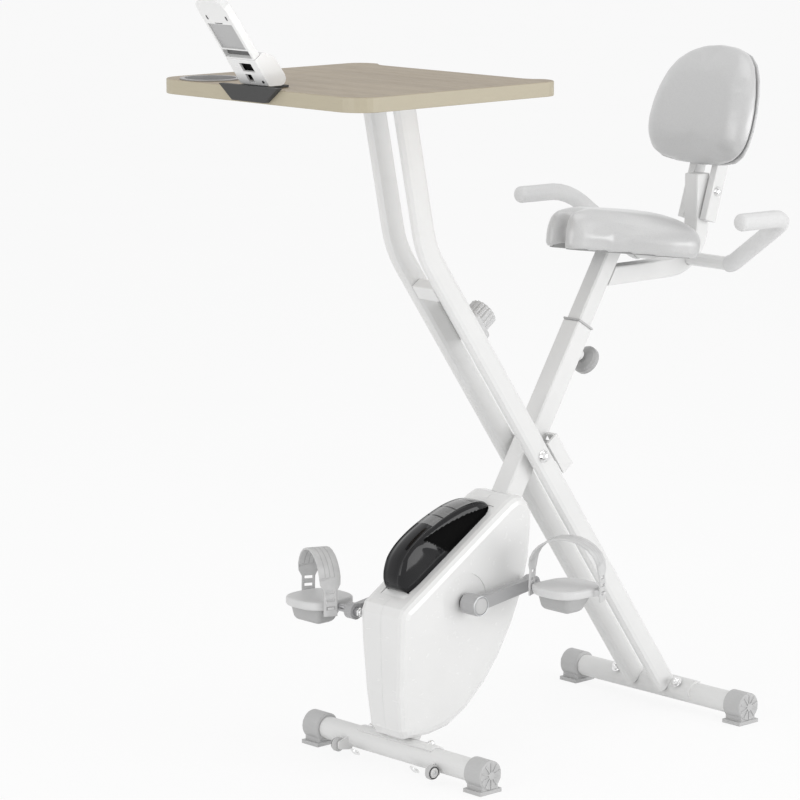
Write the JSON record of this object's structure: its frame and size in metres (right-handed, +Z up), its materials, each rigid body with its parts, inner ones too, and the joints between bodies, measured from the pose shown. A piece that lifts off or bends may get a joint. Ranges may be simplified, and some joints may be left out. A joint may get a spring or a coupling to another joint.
{
  "type": "desk exercise bike",
  "caption": "Folding upright exercise bike with a sliding desktop, console, saddle, padded backrest, side handlebar and belt-driven flywheel under a moulded housing.",
  "frame": {"origin": "centre of the footprint's bounding box, on the floor", "axes": "+Z up; the rider faces -X; +Y is the rider's right, the side away from the camera in the picture"},
  "size_m": [1.1316, 0.521, 1.2188],
  "materials": {
    "white_enamel": "satin",
    "steel": "satin",
    "chrome": "polished",
    "cast_iron": "machined",
    "white_gloss": "glossy",
    "black_gloss": "high gloss",
    "black_plastic": "fine grain",
    "knob_grey": "fine grain",
    "height_knob_grey": "satin",
    "cap_grey": "fine grain",
    "wheel_grey": "smooth",
    "crank_grey": "satin",
    "pedal_grey": "fine grain",
    "strap_grey": "soft",
    "rubber": "matte",
    "grey_vinyl": "synthetic leather",
    "grey_plastic": "smooth",
    "foam_grey": "foam",
    "oak_laminate": "laminate",
    "tray_grey": "smooth",
    "lcd_green": "glossy",
    "red_plastic": "smooth"
  },
  "bodies": {
    "front_frame": {"seat_tube": "white_enamel", "front_stabilizer": "white_enamel", "front_cap_left": "cap_grey", "front_cap_right": "cap_grey", "housing_left": "white_gloss", "housing_right": "white_gloss", "flywheel_cover": "black_gloss", "crank_bearing_left": "steel", "crank_bearing_right": "steel", "drive_belt": "rubber", "post_bushing": "black_plastic"},
    "flywheel": {"flywheel": "cast_iron", "flywheel_axle": "steel"},
    "magnet_bracket": {"magnet_bracket": "steel"},
    "wheel_left": {"wheel_left": "wheel_grey"},
    "wheel_right": {"wheel_right": "wheel_grey"},
    "height_knob": {"height_knob": "height_knob_grey"},
    "crank": {"crank_axle": "steel", "drive_pulley": "black_plastic", "crank_arm_left": "crank_grey", "crank_arm_right": "crank_grey", "pedal_spindle_left": "steel", "pedal_spindle_right": "steel"},
    "pedal_left": {"pedal_left": "pedal_grey", "strap_left": "strap_grey"},
    "pedal_right": {"pedal_right": "pedal_grey", "strap_right": "strap_grey"},
    "seat": {"seat_post": "white_enamel", "back_support": "white_enamel", "seat_pan": "black_plastic", "seat_cushion": "grey_vinyl", "handlebar": "white_enamel", "grip_left": "foam_grey", "grip_right": "foam_grey"},
    "backrest": {"backrest_rail_left": "white_enamel", "backrest_rail_right": "white_enamel", "backrest_shell": "grey_plastic", "backrest_cushion": "grey_vinyl", "backrest_bolt": "chrome"},
    "rear_frame": {"rear_tube_left": "white_enamel", "rear_tube_right": "white_enamel", "upper_crossbar": "white_enamel", "bridge_plate": "white_enamel", "rear_stabilizer": "white_enamel", "rear_cap_left": "cap_grey", "rear_cap_right": "cap_grey", "stop_bracket": "white_enamel", "stop_bumper": "rubber", "pivot_bolt": "chrome", "tension_base": "knob_grey", "desk_head": "white_enamel"},
    "tension_knob": {"tension_knob": "knob_grey"},
    "desk": {"desk_rails": "white_enamel", "desktop": "oak_laminate", "cup_holder": "tray_grey", "console_base": "black_plastic", "console_housing": "white_gloss", "phone_stand": "white_gloss", "console_lens": "lcd_green"},
    "reset_button": {"reset_button": "red_plastic"}
  },
  "joints": [
    {"name": "fold", "type": "hinge", "parent": "front_frame", "child": "rear_frame", "pos_m": [0.08175, 0, 0.465], "axis": [0, 1, 0], "range_deg": [0, 38]},
    {"name": "seat_height", "type": "slide", "parent": "front_frame", "child": "seat", "axis": [0.5265, 0, 0.8502], "range_m": [-0.03, 0.09]},
    {"name": "backrest_fold", "type": "hinge", "parent": "seat", "child": "backrest", "pos_m": [0.49475, 0, 0.852], "axis": [0, -1, 0], "range_deg": [0, 90]},
    {"name": "height_pin", "type": "slide", "parent": "front_frame", "child": "height_knob", "axis": [0.8502, 0, -0.5265], "range_m": [-0.005, 0]},
    {"name": "crank_turn", "type": "hinge", "parent": "front_frame", "child": "crank", "pos_m": [-0.09624, 0, 0.258], "axis": [0, 1, 0], "continuous": true},
    {"name": "flywheel_turn", "type": "hinge", "parent": "front_frame", "child": "flywheel", "pos_m": [-0.12924, 0, 0.149], "axis": [0, 1, 0], "continuous": true},
    {"name": "pedal_left_turn", "type": "hinge", "parent": "crank", "child": "pedal_left", "pos_m": [0.02472, -0.155, 0.27392], "axis": [0, 1, 0], "continuous": true},
    {"name": "pedal_right_turn", "type": "hinge", "parent": "crank", "child": "pedal_right", "pos_m": [-0.21719, 0.155, 0.24208], "axis": [0, 1, 0], "continuous": true},
    {"name": "wheel_left_turn", "type": "hinge", "parent": "front_frame", "child": "wheel_left", "pos_m": [-0.22025, -0.108, 0.02], "axis": [0, 1, 0], "continuous": true},
    {"name": "wheel_right_turn", "type": "hinge", "parent": "front_frame", "child": "wheel_right", "pos_m": [-0.22025, 0.108, 0.02], "axis": [0, 1, 0], "continuous": true},
    {"name": "tension_turn", "type": "hinge", "parent": "rear_frame", "child": "tension_knob", "pos_m": [-0.03114, 0, 0.68634], "axis": [0.8182, 0, 0.575], "range_deg": [0, 270]},
    {"name": "magnet_swing", "type": "hinge", "parent": "front_frame", "child": "magnet_bracket", "pos_m": [-0.08515, 0.0285, 0.20968], "axis": [0, -1, 0], "range_deg": [0, 9]},
    {"name": "desk_slide", "type": "slide", "parent": "rear_frame", "child": "desk", "axis": [1, 0, 0], "range_m": [0, 0.05]},
    {"name": "reset_press", "type": "slide", "parent": "desk", "child": "reset_button", "axis": [-0.7979, 0, -0.6028], "range_m": [0, 0.0015], "stiffness_N_per_m": 400, "springref_m": -0.001}
  ],
  "couplings": [
    {"joint": "flywheel_turn", "follows": "crank_turn", "ratio": 5},
    {"joint": "magnet_swing", "follows": "tension_turn", "ratio": 0.033333}
  ]
}
